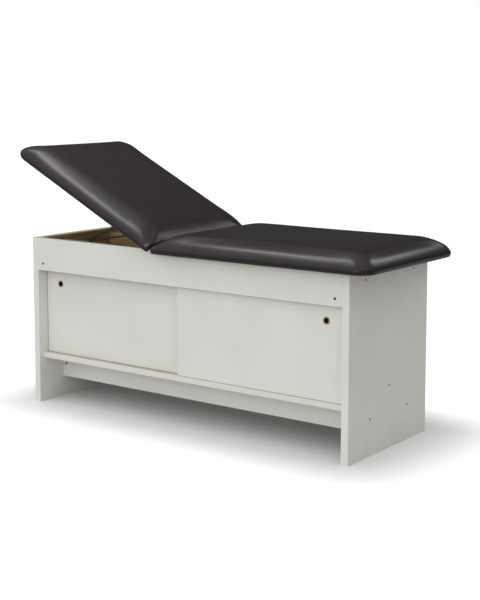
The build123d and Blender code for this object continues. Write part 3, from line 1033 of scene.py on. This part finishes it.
    def _level(self, x: float, y: float, level: float) -> float:
        """A ring's level, raised along the hinge so that the skin clears the hinge leaves.

        Args:
            x: the place along the board.
            y: the place across it.
            level: the level away from the hinge.

        Returns:
            The level at that place.
        """
        floor = self.board_low.z + self.hinge_clearance
        if level >= floor:
            return level
        at_hinge = 1.0 - smoothstep(mm(12.0), mm(30.0), x - self.low.x)
        inside = 1.0 - smoothstep(-mm(24.0), -mm(8.0), abs(y) - self.high.y)
        return level + (floor - level) * at_hinge * inside

    @staticmethod
    def _boundary(columns: int, rows: int) -> list[tuple[int, int]]:
        """The grid's outer points.

        Args:
            columns: how many lines run across the board.
            rows: how many run along it.

        Returns:
            The column and row of each outer point, in order round the grid.
        """
        loop = [(i, 0) for i in range(columns - 1)]
        loop += [(columns - 1, j) for j in range(rows - 1)]
        loop += [(i, rows - 1) for i in range(columns - 1, 0, -1)]
        loop += [(0, j) for j in range(rows - 1, 0, -1)]
        return loop

    def _settle(self, piece: bpy.types.Object) -> None:
        """Swell the vinyl under the foam's push, held where it is stapled.

        The push alone would carry the skin well past the swell limit, so the limit cuts it off.

        Args:
            piece: the cushion, no point of which moves by more than the swell limit.
        """
        scene = bpy.context.scene
        held = piece.vertex_groups.new(name="held")
        start = [vertex.co.copy() for vertex in piece.data.vertices]
        ceiling = self.board_high.z + self.pocket_gap
        for vertex in piece.data.vertices:
            height = (vertex.co - self.section.pin).dot(self.section.up)
            if height < self.shoulder + mm(1.0) or abs(height - ceiling) < mm(0.1):
                held.add([vertex.index], 1.0, "REPLACE")
        cloth = piece.modifiers.new("skin", "CLOTH")
        cloth.settings.quality = 6
        cloth.settings.mass = 0.4
        cloth.settings.tension_stiffness = 30.0
        cloth.settings.compression_stiffness = 30.0
        cloth.settings.bending_stiffness = 4.0
        cloth.settings.use_pressure = True
        cloth.settings.uniform_pressure_force = 4.0
        cloth.settings.vertex_group_mass = "held"
        cloth.settings.effector_weights.gravity = 0.0
        cloth.collision_settings.use_collision = False
        cloth.collision_settings.use_self_collision = False
        cloth.point_cache.frame_start = 1
        cloth.point_cache.frame_end = self.settle_frames
        for step in range(1, self.settle_frames + 1):
            scene.frame_set(step)
        shape = piece.evaluated_get(bpy.context.evaluated_depsgraph_get()).to_mesh()
        moved = [vertex.co.copy() for vertex in shape.vertices]
        piece.modifiers.remove(cloth)
        furthest = 0.0
        for vertex, before, after in zip(piece.data.vertices, start, moved):
            step_out = after - before
            furthest = max(furthest, step_out.length)
            if step_out.length > self.swell_limit:
                step_out = step_out.normalized() * self.swell_limit
            vertex.co = before + step_out
        piece.vertex_groups.clear()
        scene.frame_set(1)
        log.info("%s: skin moved up to %.1f mm before the limit", self.name, furthest * 1000.0)

    @staticmethod
    def _subdivide(piece: bpy.types.Object) -> None:
        """Smooth the skin with one applied subdivision.

        Args:
            piece: the cushion.
        """
        modifier = piece.modifiers.new("smooth", "SUBSURF")
        modifier.levels = 1
        modifier.render_levels = 1
        depsgraph = bpy.context.evaluated_depsgraph_get()
        mesh = bpy.data.meshes.new_from_object(piece.evaluated_get(depsgraph), depsgraph=depsgraph)
        piece.modifiers.clear()
        old = piece.data
        piece.data = mesh
        bpy.data.meshes.remove(old)
        mesh.name = piece.name
        for polygon in mesh.polygons:
            polygon.use_smooth = True


@dataclass
class Staples:
    """Wire staples that hold the vinyl to the underside of a board."""

    name: str
    section: Section
    cushion: Cushion
    metal: bpy.types.Material
    pitch: float = mm(32.0)
    crown: float = mm(10.0)
    wire: float = mm(0.6)
    from_edge: float = mm(36.0)

    def build(self) -> bpy.types.Object:
        """Drive a staple every pitch along the sides and the far end.

        Returns:
            The finished piece.
        """
        low, high = self.cushion.low, self.cushion.high
        level = self.cushion.board_low.z - self.cushion.wrap_thickness - self.wire / 2.0
        bm = bmesh.new()
        side = high.y - self.from_edge
        far = high.x - self.from_edge
        count = int((far - low.x - self.from_edge) / self.pitch)
        for k in range(count):
            x = low.x + self.from_edge + self.pitch * (k + 0.5)
            for y in (-side, side):
                self._staple(bm, x, y, level, (1.0, 0.0))
        count = int(2.0 * side / self.pitch)
        for k in range(count):
            y = -side + self.pitch * (k + 0.5)
            self._staple(bm, far, y, level, (0.0, 1.0))
        piece = piece_from(bm, self.name, self.metal)
        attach(piece, self.section.body)
        log.info("%s: %d faces", self.name, len(piece.data.polygons))
        return piece

    def _staple(
        self, bm: bmesh.types.BMesh, x: float, y: float, level: float, way: tuple[float, float]
    ) -> None:
        """Add one staple's crown, a flattened wire with turned-down ends.

        Args:
            bm: the mesh under construction.
            x: the place along the board.
            y: the place across it.
            level: the height of the wire's middle.
            way: the crown's direction along and across.
        """
        stations = ((-0.5, 0.9), (-0.47, 0.1), (-0.40, 0.0), (0.40, 0.0), (0.47, 0.1), (0.5, 0.9))
        corners = 6
        loops = []
        for share, sunk in stations:
            loop = []
            for k in range(corners):
                turn = math.tau * k / corners
                aside = math.cos(turn) * self.wire
                height = math.sin(turn) * self.wire * 0.5 + sunk * mm(1.4)
                px = x + way[0] * share * self.crown + way[1] * aside
                py = y + way[1] * share * self.crown + way[0] * aside
                loop.append(bm.verts.new(self.section.place(px, py, level + height)))
            loops.append(loop)
        for first, second in zip(loops, loops[1:]):
            bridge(bm, first, second)
        bm.faces.new(loops[0])
        bm.faces.new(loops[-1])


# ---------------------------------------------------------------- screws


@dataclass
class CrossHeadScrews:
    """Pan-head screws with a cross recess, one at each solid of a frame node."""

    node: str
    body: str
    outward: Vector
    finish: ZincPlatedSteel | BlackOxideSteel
    metal: bpy.types.Material
    head_radius: float = mm(5.0)
    head_height: float = mm(2.0)
    recess: float = mm(1.2)
    segments: int = 32

    def build(self) -> bpy.types.Object:
        """Turn one screw head and shank for each solid of the node.

        Returns:
            The finished piece.
        """
        bm = bmesh.new()
        axis = self.outward.normalized()
        aside = axis.orthogonal().normalized()
        across = axis.cross(aside)
        rows = Matrix((aside, across, axis)).transposed()
        for low, high in islands(self.node):
            centre = (low + high) / 2.0
            half = max(abs((high - low).dot(axis)) / 2.0, self.head_height)
            top = centre + axis * half
            self._screw(bm, rows, top, 2.0 * half)
        piece = piece_from(bm, self.node + "_cross_head", self.metal)
        for polygon in piece.data.polygons:
            polygon.use_smooth = polygon.area < mm(3.0) ** 2
        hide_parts(self.node)
        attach(piece, self.body)
        log.info("%s: %d faces", piece.name, len(piece.data.polygons))
        return piece

    def _screw(self, bm: bmesh.types.BMesh, rows: Matrix, top: Vector, length: float) -> None:
        """Add one screw, whose head's top is at a point and whose shank runs back from it.

        Args:
            bm: the mesh under construction.
            rows: the screw's aside, across and outward ways as a matrix.
            top: the middle of the head's top.
            length: head and shank together.
        """
        radius, height = self.head_radius, self.head_height
        shank = radius * 0.5
        profile = [
            (shank, -length),
            (shank, -height),
            (radius * 0.97, -height),
            (radius, -height * 0.86),
            (radius * 0.97, -height * 0.5),
            (radius * 0.86, -height * 0.2),
            (radius * 0.70, -height * 0.05),
            (radius * 0.60, 0.0),
        ]
        loops = []
        for r, z in profile:
            loop = []
            for k in range(self.segments):
                turn = math.tau * k / self.segments
                point = rows @ Vector((r * math.cos(turn), r * math.sin(turn), z)) + top
                loop.append(bm.verts.new(point))
            loops.append(loop)
        for first, second in zip(loops, loops[1:]):
            bridge(bm, first, second)
        bm.faces.new(loops[0])
        self._cross(bm, rows, top, loops[-1])

    def _cross(
        self, bm: bmesh.types.BMesh, rows: Matrix, top: Vector, rim: list[bmesh.types.BMVert]
    ) -> None:
        """Close the head's top round a tapered cross recess.

        Args:
            bm: the mesh under construction.
            rows: the screw's ways.
            top: the middle of the head's top.
            rim: the loop of points round the head's flat.
        """
        arm = self.head_radius * 0.50
        half = self.head_radius * 0.13
        outline = []
        for k in range(4):
            turn = math.tau * k / 4
            cos, sin = math.cos(turn), math.sin(turn)
            for px, py in ((half, -half), (arm, -half), (arm, half)):
                outline.append((px * cos - py * sin, px * sin + py * cos))
        mouth = [bm.verts.new(rows @ Vector((x, y, 0.0)) + top) for x, y in outline]
        floor = [
            bm.verts.new(rows @ Vector((x * 0.55, y * 0.7, -self.recess)) + top) for x, y in outline
        ]
        edges = []
        for loop in (rim, mouth):
            for k, vert in enumerate(loop):
                after = loop[(k + 1) % len(loop)]
                edges.append(bm.edges.get((vert, after)) or bm.edges.new((vert, after)))
        bmesh.ops.triangle_fill(bm, edges=edges, use_beauty=True)
        bridge(bm, mouth, floor)
        bm.faces.new(floor)


# ---------------------------------------------------------------- stage


@dataclass(frozen=True)
class SoftBox:
    """One rectangular soft box: where it hangs, what it faces, its sides, watts and turn."""

    name: str
    place: tuple[float, float, float]
    target: tuple[float, float, float]
    width: float
    height: float
    power: float
    turn: float = 0.0

    def build(self) -> None:
        """Hang the box, turned about its own axis by its turn in degrees."""
        light = bpy.data.lights.new(self.name, "AREA")
        light.shape = "RECTANGLE"
        light.size = self.width
        light.size_y = self.height
        light.energy = self.power
        lamp = bpy.data.objects.new(self.name, light)
        lamp.location = self.place
        aim = (Vector(self.target) - Vector(self.place)).to_track_quat("-Z", "Y")
        twist = Quaternion((0.0, 0.0, 1.0), math.radians(self.turn))
        lamp.rotation_euler = (aim @ twist).to_euler()
        bpy.context.scene.collection.objects.link(lamp)


@dataclass(frozen=True)
class Studio:
    """A white sweep whose floor carries a painted shadow round the cabinet, a sky that is brightest overhead
    and in front, and three soft boxes.
    """

    floor_colour: str = "#E6E6E6"
    floor_bounce: str = "#C4C4C4"
    floor_size: float = 60.0
    zenith: float = 1.15
    horizon: float = 0.07
    brightest: tuple[float, float, float] = (0.10, -0.45, 0.89)
    full_sky: float = 0.90
    floor_glow: float = 0.46
    # reach of the painted shadow on the floor, out from the cabinet's footprint, in metres
    painted_shadow_reach: float = 0.42
    boxes: tuple[SoftBox, ...] = (
        SoftBox("overhead_soft_box", (-0.9, -0.34, 3.1), (-0.9, -0.33, 0.8), 1.5, 0.5, 23.0, -32.0),
        SoftBox("front_soft_box", (1.0, -7.0, 2.6), (0.0, 0.0, 0.5), 3.6, 2.4, 72.0),
        SoftBox("rear_soft_box", (1.2, 2.4, 2.5), (0.8, 0.0, 0.75), 0.6, 0.4, 7.5),
    )

    def build(self) -> None:
        """Lay the floor and hang the lights."""
        self._floor()
        self._sky()
        for box in self.boxes:
            box.build()

    def _floor(self) -> None:
        """A plain pale floor, which camera rays see glowing white except in a painted shadow round the
        cabinet's footprint.
        """
        bm = bmesh.new()
        half = self.floor_size / 2.0
        ways = ((-1, -1), (1, -1), (1, 1), (-1, 1))
        bm.faces.new([bm.verts.new((x * half, y * half, 0.0)) for x, y in ways])
        shader = Shader("studio_floor_paper")
        path = add_node(shader.tree, "ShaderNodeLightPath")
        seen = path.outputs["Is Camera Ray"]
        # Painted shadow: the camera-only glow is nothing at the cabinet's footprint and grows to full over
        # the reach, so the floor is painted darker round the cabinet.
        glow = add_node(
            shader.tree,
            "ShaderNodeMapRange",
            attributes={"interpolation_type": "SMOOTHSTEP"},
            values={"From Min": 0.0, "From Max": self.painted_shadow_reach, "To Max": self.floor_glow},
            links={"Value": self._clear_of_cabinet(shader)},
        )
        shown = add_node(
            shader.tree,
            "ShaderNodeMath",
            attributes={"operation": "MULTIPLY"},
            links={0: glow.outputs["Result"], 1: seen},
        )
        shader.feed(
            Base_Color=shader.between(seen, [(0.0, self.floor_bounce), (1.0, self.floor_colour)]),
            Emission_Strength=shown.outputs["Value"],
        )
        shader.set(Roughness=0.9, Specular_IOR_Level=0.0, Emission_Color=linear("#FFFFFF"))
        floor = piece_from(bm, "studio_floor", shader.material)
        floor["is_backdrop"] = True

    @staticmethod
    def _clear_of_cabinet(shader: Shader) -> bpy.types.NodeSocket:
        """How far a point of the floor is from the cabinet's footprint, which shapes the floor's painted
        shadow.

        Args:
            shader: the floor's material under construction.

        Returns:
            The distance socket, in metres.
        """
        head_low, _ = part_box("head_end_panel")
        _, foot_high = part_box("foot_end_panel")
        middle = ((head_low[0] + foot_high[0]) / 2.0, 0.0, 0.0)
        half = ((foot_high[0] - head_low[0]) / 2.0, foot_high[1], 0.0)
        place = shader.place
        for operation, other in (
            ("SUBTRACT", middle),
            ("ABSOLUTE", None),
            ("SUBTRACT", half),
            ("MAXIMUM", (0.0, 0.0, 0.0)),
            ("LENGTH", None),
        ):
            step = add_node(
                shader.tree,
                "ShaderNodeVectorMath",
                attributes={"operation": operation},
                values={1: other} if other else None,
                links={0: place},
            )
            place = step.outputs["Value" if operation == "LENGTH" else "Vector"]
        return place

    def _sky(self) -> None:
        """Light that is strong overhead and in front and weak behind, with a white backdrop."""
        world = bpy.data.worlds.new("studio_sky")
        bpy.context.scene.world = world
        world.use_nodes = True
        tree = world.node_tree
        tree.nodes.clear()
        way = add_node(tree, "ShaderNodeTexCoord")
        toward = add_node(
            tree,
            "ShaderNodeVectorMath",
            attributes={"operation": "DOT_PRODUCT"},
            values={1: self.brightest},
            links={0: way.outputs["Generated"]},
        )
        strength = add_node(
            tree,
            "ShaderNodeMapRange",
            attributes={"interpolation_type": "SMOOTHSTEP"},
            values={
                "From Min": 0.0,
                "From Max": self.full_sky,
                "To Min": self.horizon,
                "To Max": self.zenith,
            },
            links={"Value": toward.outputs["Value"]},
        )
        sky = add_node(
            tree,
            "ShaderNodeBackground",
            values={"Color": linear("#FFFFFF")},
            links={"Strength": strength.outputs["Result"]},
        )
        backdrop = add_node(
            tree, "ShaderNodeBackground", values={"Color": linear("#FFFFFF"), "Strength": 1.0}
        )
        path = add_node(tree, "ShaderNodeLightPath")
        mixed = add_node(
            tree,
            "ShaderNodeMixShader",
            links={0: path.outputs["Is Camera Ray"], 1: sky.outputs[0], 2: backdrop.outputs[0]},
        )
        add_node(tree, "ShaderNodeOutputWorld", links={"Surface": mixed.outputs[0]})


@dataclass(frozen=True)
class Viewpoint:
    """A long lens at a standing person's eye level, off the foot end's front corner."""

    place: tuple[float, float, float] = (3.070, -4.053, 1.381)
    yaw: float = 0.6366
    pitch: float = -0.1142
    focal_in_heights: float = 1253.4 / IMAGE_HEIGHT
    rise: float = -75.0 / IMAGE_HEIGHT
    sensor: float = 36.0

    def build(self) -> None:
        """Set up the camera and make it the scene's."""
        camera = bpy.data.cameras.new("viewpoint")
        camera.sensor_width = self.sensor
        camera.lens = self.sensor * self.focal_in_heights
        camera.shift_y = self.rise
        camera.clip_end = 200.0
        holder = bpy.data.objects.new("viewpoint", camera)
        holder.location = self.place
        holder.rotation_euler = (math.pi / 2.0 + self.pitch, 0.0, self.yaw)
        bpy.context.scene.collection.objects.link(holder)
        bpy.context.scene.camera = holder


# ---------------------------------------------------------------- sub-assemblies


@dataclass
class Cabinet:
    """The laminate cabinet: panels, aprons, shelf, rails, tracks and the screws that join it."""

    laminate: MelamineLaminate = field(default_factory=MelamineLaminate)
    band: PvcEdgeBand = field(default_factory=PvcEdgeBand)
    poplar: SawnPoplar = field(default_factory=SawnPoplar)
    styrene: ExtrudedPolystyrene = field(default_factory=ExtrudedPolystyrene)
    rubber: MouldedRubber = field(default_factory=MouldedRubber)
    skin: float = mm(0.8)

    def build(self, zinc: bpy.types.Material, oxide: bpy.types.Material) -> None:
        """Dress the boards and drive the screws.

        Args:
            zinc: the finish of the end screws.
            oxide: the finish of the screws in the apron and the toe board.
        """
        plain = self.laminate.material()
        dress(
            ("head_end_panel", "foot_end_panel", "rear_panel", "bottom_shelf", "toe_board", "rear_stretcher"),
            plain,
        )
        _, front_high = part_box("front_apron")
        rear_low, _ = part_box("rear_apron")
        front = RawFace(front_high.y - self.skin, Side.REAR_OF)
        rear = RawFace(rear_low.y + self.skin, Side.FRONT_OF)
        dress(("front_apron",), self.laminate.material(front))
        dress(("rear_apron",), self.laminate.material(rear))
        dress(("shelf_edge_strip",), self.band.material())
        dress(
            ("rack_rail_front", "rack_rail_rear", "track_board"),
            self.poplar.material(Grain.ALONG_X),
        )
        dress(
            ("head_cross_rail", "foot_cross_rail", "hinge_rail", "shelf_cleat_head", "shelf_cleat_foot"),
            self.poplar.material(Grain.ALONG_Y),
        )
        dress(("toe_block_head", "toe_block_foot"), self.poplar.material(Grain.ALONG_Z))
        dress(("lower_track", "upper_track"), self.styrene.material())
        dress(("door_buffers",), self.rubber.material())
        self._screws(zinc, oxide)

    def _screws(self, zinc: bpy.types.Material, oxide: bpy.types.Material) -> None:
        """Drive the cross-head screws into the panels, the apron and the toe board.

        Args:
            zinc: the finish of the end screws.
            oxide: the finish of the others.
        """
        head, foot, front = Vector((-1, 0, 0)), Vector((1, 0, 0)), Vector((0, -1, 0))
        plan = (
            ("end_screws_head", head, ZincPlatedSteel(), zinc),
            ("end_screws_foot", foot, ZincPlatedSteel(), zinc),
            ("apron_screws", front, BlackOxideSteel(), oxide),
            ("toe_board_screws", front, BlackOxideSteel(), oxide),
        )
        for node, outward, finish, metal in plan:
            CrossHeadScrews(node, "cabinet", outward, finish, metal).build()


@dataclass
class Doors:
    """The two sliding doors with their brass finger pulls and styrene glides."""

    laminate: MelamineLaminate = field(default_factory=MelamineLaminate)
    brass: LacqueredBrass = field(default_factory=LacqueredBrass)
    styrene: ExtrudedPolystyrene = field(default_factory=ExtrudedPolystyrene)

    def build(self) -> None:
        """Dress the doors and what is fixed to them."""
        dress(("left_door", "right_door"), self.laminate.material())
        for pull in ("left_finger_pull", "right_finger_pull"):
            rim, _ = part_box(pull)
            dress((pull,), self.brass.material(rim[1]))
        dress(("left_door_glides", "right_door_glides"), self.styrene.material())


@dataclass
class Top:
    """The upholstered top: two cushions on plywood boards, their staples and their hinges."""

    seat: Section
    backrest: Section
    vinyl: UpholsteryVinyl = field(default_factory=UpholsteryVinyl)
    plywood: RotaryPlywood = field(default_factory=RotaryPlywood)

    def build(self, steel: bpy.types.Material, zinc: bpy.types.Material) -> None:
        """Build the cushions and dress the boards and hinges.

        Args:
            steel: the finish of the hinge leaves.
            zinc: the finish of the hinge pins, screws and staples.
        """
        skin = self.vinyl.material()
        dress(("seat_board", "backrest_board"), self.plywood.material())
        plan = (
            ("seat", self.seat, "seat_pad", "seat_board"),
            ("backrest", self.backrest, "backrest_pad", "backrest_board"),
        )
        for label, section, pad, board in plan:
            cushion = Cushion(label + "_cushion", section, pad, board, skin)
            cushion.build()
            Staples(label + "_staples", section, cushion, zinc).build()
        for place in ("front", "middle", "rear"):
            dress(("hinge_fixed_leaf_" + place, "hinge_moving_leaf_" + place), steel)
            dress(("hinge_pin_" + place,), zinc)
        dress(("seat_hinge_screws", "backrest_hinge_screws"), zinc)


@dataclass
class Prop:
    """The prop and its ratchet: brackets, legs, rods, racks and bolts."""

    def build(self, steel: bpy.types.Material, zinc: bpy.types.Material) -> None:
        """Dress the linkage.

        Args:
            steel: the finish of the pressed pieces.
            zinc: the finish of rods, bolts and screws.
        """
        for place in ("front", "rear"):
            dress(("prop_leg_" + place, "prop_bracket_" + place, "ratchet_rack_" + place), steel)
        dress(("prop_pivot_rod", "prop_foot_rod", "rack_bolts", "bracket_screws"), zinc)


def corners() -> list[list[float]]:
    """The whole object's box as plain lists of numbers."""
    return [[float(value) for value in corner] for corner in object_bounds()]


def main() -> None:
    """Build the stage and every sub-assembly."""
    logging.basicConfig(level=logging.INFO, format="%(name)s: %(message)s")
    bpy.context.scene.view_settings.view_transform = "Standard"
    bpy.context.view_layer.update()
    Viewpoint().build()
    Studio().build()
    zinc = ZincPlatedSteel().material()
    oxide = BlackOxideSteel().material()
    steel = PowderCoatedSteel().material()
    seat, backrest = top_sections()
    Cabinet().build(zinc, oxide)
    Doors().build()
    Top(seat, backrest).build(steel, zinc)
    Prop().build(steel, zinc)


if __name__ == "__main__":
    main()
